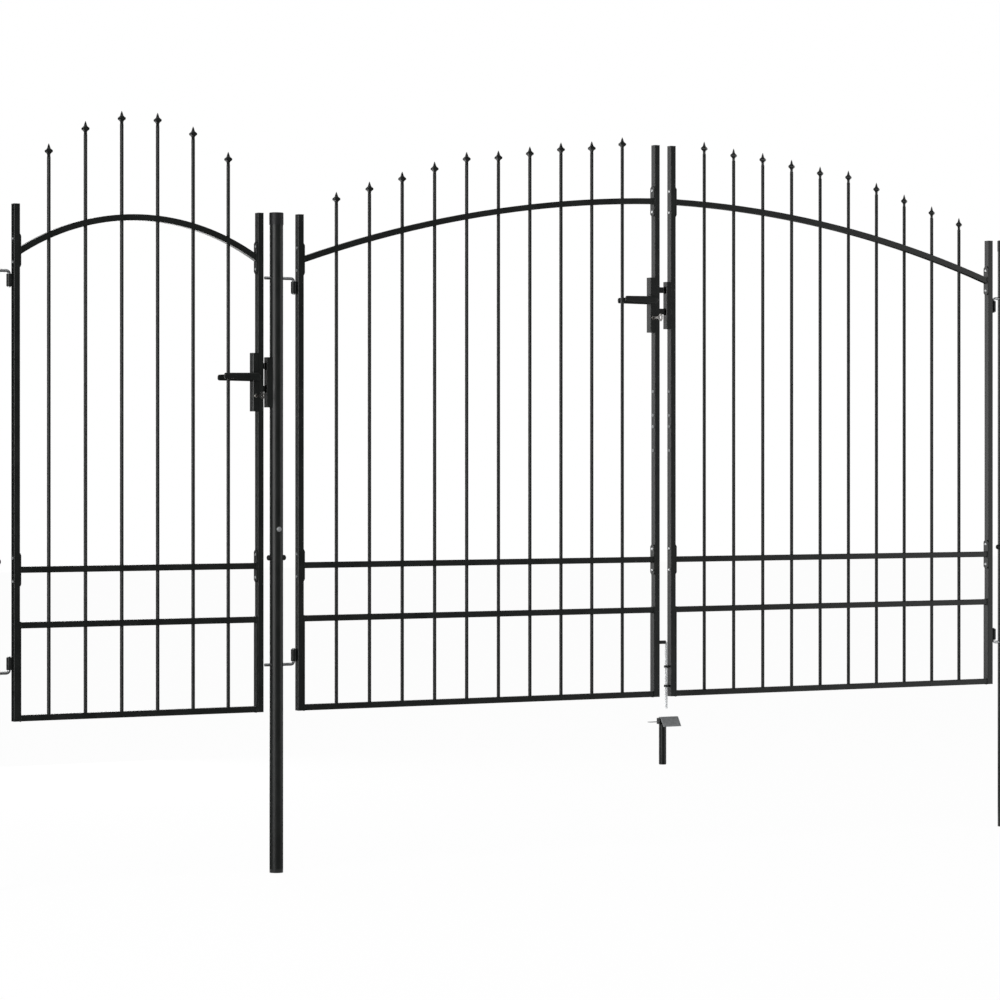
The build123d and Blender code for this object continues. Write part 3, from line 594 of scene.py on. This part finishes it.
def shownRays(tree):  # 1 for rays that show the background: from the camera, in gloss and through glass
    rays = addNode(tree, "ShaderNodeLightPath")
    seen = addNode(tree, "ShaderNodeMath", {"operation": "ADD"},
                   {0: rays.outputs["Is Camera Ray"], 1: rays.outputs["Is Glossy Ray"]})
    shown = addNode(tree, "ShaderNodeMath", {"operation": "ADD", "use_clamp": True},
                    {0: seen.outputs["Value"], 1: rays.outputs["Is Transmission Ray"]})
    return shown.outputs["Value"]


# Studio: white to the eye and in gloss, a plain grey level on the object
studio = {"white": "#ffffff", "level": 0.5, "floorSize": 60.0, "floorColour": "#f6f6f6", "whiteShare": 0.955}
world = bpy.data.worlds.new("studio")
world.use_nodes = True
scene.world = world
tree = world.node_tree
tree.nodes.clear()
lighting = addNode(tree, "ShaderNodeBackground",
                   {"Color": linear(studio["white"]), "Strength": studio["level"]})
backdrop = addNode(tree, "ShaderNodeBackground", {"Color": linear(studio["white"]), "Strength": 1.0})
either = addNode(tree, "ShaderNodeMixShader",
                 links={"Fac": shownRays(tree), 1: lighting.outputs["Background"],
                        2: backdrop.outputs["Background"]})
addNode(tree, "ShaderNodeOutputWorld", links={"Surface": either.outputs["Shader"]})

# Floor: pale paper that reads as white, with a trace of the object's shadow
paper, tree = newMaterial("studioPaper")
share = addNode(tree, "ShaderNodeMath", {"operation": "MULTIPLY", 1: studio["whiteShare"]},
                {0: shownRays(tree)})
matt = addNode(tree, "ShaderNodeBsdfDiffuse", {"Color": linear(studio["floorColour"])})
white = addNode(tree, "ShaderNodeEmission", {"Color": linear(studio["white"]), "Strength": 1.0})
either = addNode(tree, "ShaderNodeMixShader", links={"Fac": share.outputs["Value"], 1: matt.outputs["BSDF"],
                                                     2: white.outputs["Emission"]})
addNode(tree, "ShaderNodeOutputMaterial", links={"Surface": either.outputs["Shader"]})


def stageSheet(name, corners, material):  # one flat sheet of the studio
    mesh = bpy.data.meshes.new(name)
    mesh.from_pydata(corners, [], [(0, 1, 2, 3)])
    mesh.materials.append(material)
    sheet = bpy.data.objects.new(name, mesh)
    scene.collection.objects.link(sheet)
    return sheet


half = studio["floorSize"] / 2
stageSheet("studioFloor", [(-half, -half, 0), (half, -half, 0), (half, half, 0), (-half, half, 0)], paper)

# Flags: black cards that only gloss sees, behind at the left, over the far floor, in front and above,
# and a grey one over the near floor. They keep the near faces and the spear heads dark
flags = {
    "tone": "#050505",
    "nearTone": "#707070",
    "corners": {
        "backLeft": [(-8.0, 4.0, 0.0), (-1.2, 4.0, 0.0), (-1.2, 4.0, 7.0), (-8.0, 4.0, 7.0)],
        "farLeft": [(-8.0, 1.7, 0.0), (-8.0, 4.0, 0.0), (-8.0, 4.0, 7.0), (-8.0, 1.7, 7.0)],
        "backFloor": [(-8.0, 0.4, 0.01), (-0.6, 0.4, 0.01), (-1.2, 4.0, 0.01), (-8.0, 4.0, 0.01)],
        "farFloor": [(-0.6, 0.4, 0.01), (8.0, 0.4, 0.01), (8.0, 8.0, 0.01), (-0.6, 8.0, 0.01)],
        "front": [(-2.5, -4.0, 0.0), (5.5, -4.0, 0.0), (5.5, -4.0, 5.0), (-2.5, -4.0, 5.0)],
        "above": [(-14.0, -14.0, 7.5), (14.0, -14.0, 7.5), (14.0, 10.0, 7.5), (-14.0, 10.0, 7.5)],
        "nearFloor": [(-8.0, -8.0, 0.012), (2.0, -8.0, 0.012), (2.0, 0.4, 0.012), (-8.0, 0.4, 0.012)],
    },
}
for name, corners in flags["corners"].items():
    card, tree = newMaterial(name + "Card")
    cardTone = flags["nearTone"] if name == "nearFloor" else flags["tone"]
    matt = addNode(tree, "ShaderNodeBsdfDiffuse", {"Color": linear(cardTone)})
    addNode(tree, "ShaderNodeOutputMaterial", links={"Surface": matt.outputs["BSDF"]})
    sheet = stageSheet(name + "Flag", corners, card)
    sheet.visible_camera = sheet.visible_diffuse = sheet.visible_shadow = sheet.visible_transmission = False

# Lamps: a broad strip at the left for the posts' highlight, two panels behind for the far stiles' sides,
# a fill at the right and a soft one overhead
lamps = {
    "leftStrip": {"place": (-6.6, -2.7, 1.6), "aim": (0.0, 0.0, 1.3), "size": (4.0, 5.0), "power": 470.0},
    "backPanel": {"place": (-0.9, 4.2, 1.5), "aim": (-0.9, 0.0, 1.5), "size": (0.6, 4.0), "power": 5.0},
    "backEdge": {"place": (0.55, 4.2, 1.5), "aim": (0.55, 0.0, 1.5), "size": (1.8, 4.0), "power": 78.0},
    "rightFill": {"place": (7.2, -4.0, 1.5), "aim": (2.5, 0.0, 1.3), "size": (2.8, 4.0), "power": 77.0},
    "overhead": {"place": (0.5, -2.5, 6.0), "aim": (1.0, 0.0, 0.5), "size": (5.0, 3.0), "power": 90.0},
}
for name, lamp in lamps.items():
    light = bpy.data.lights.new(name, "AREA")
    light.shape = "RECTANGLE"
    light.size, light.size_y = lamp["size"]
    light.energy = lamp["power"]
    lampObject = bpy.data.objects.new(name, light)
    lampObject.location = lamp["place"]
    gaze = Vector(lamp["aim"]) - Vector(lamp["place"])
    lampObject.rotation_euler = gaze.to_track_quat("-Z", "Y").to_euler()
    scene.collection.objects.link(lampObject)

scene.view_settings.view_transform = "Standard"
print("scene ready")
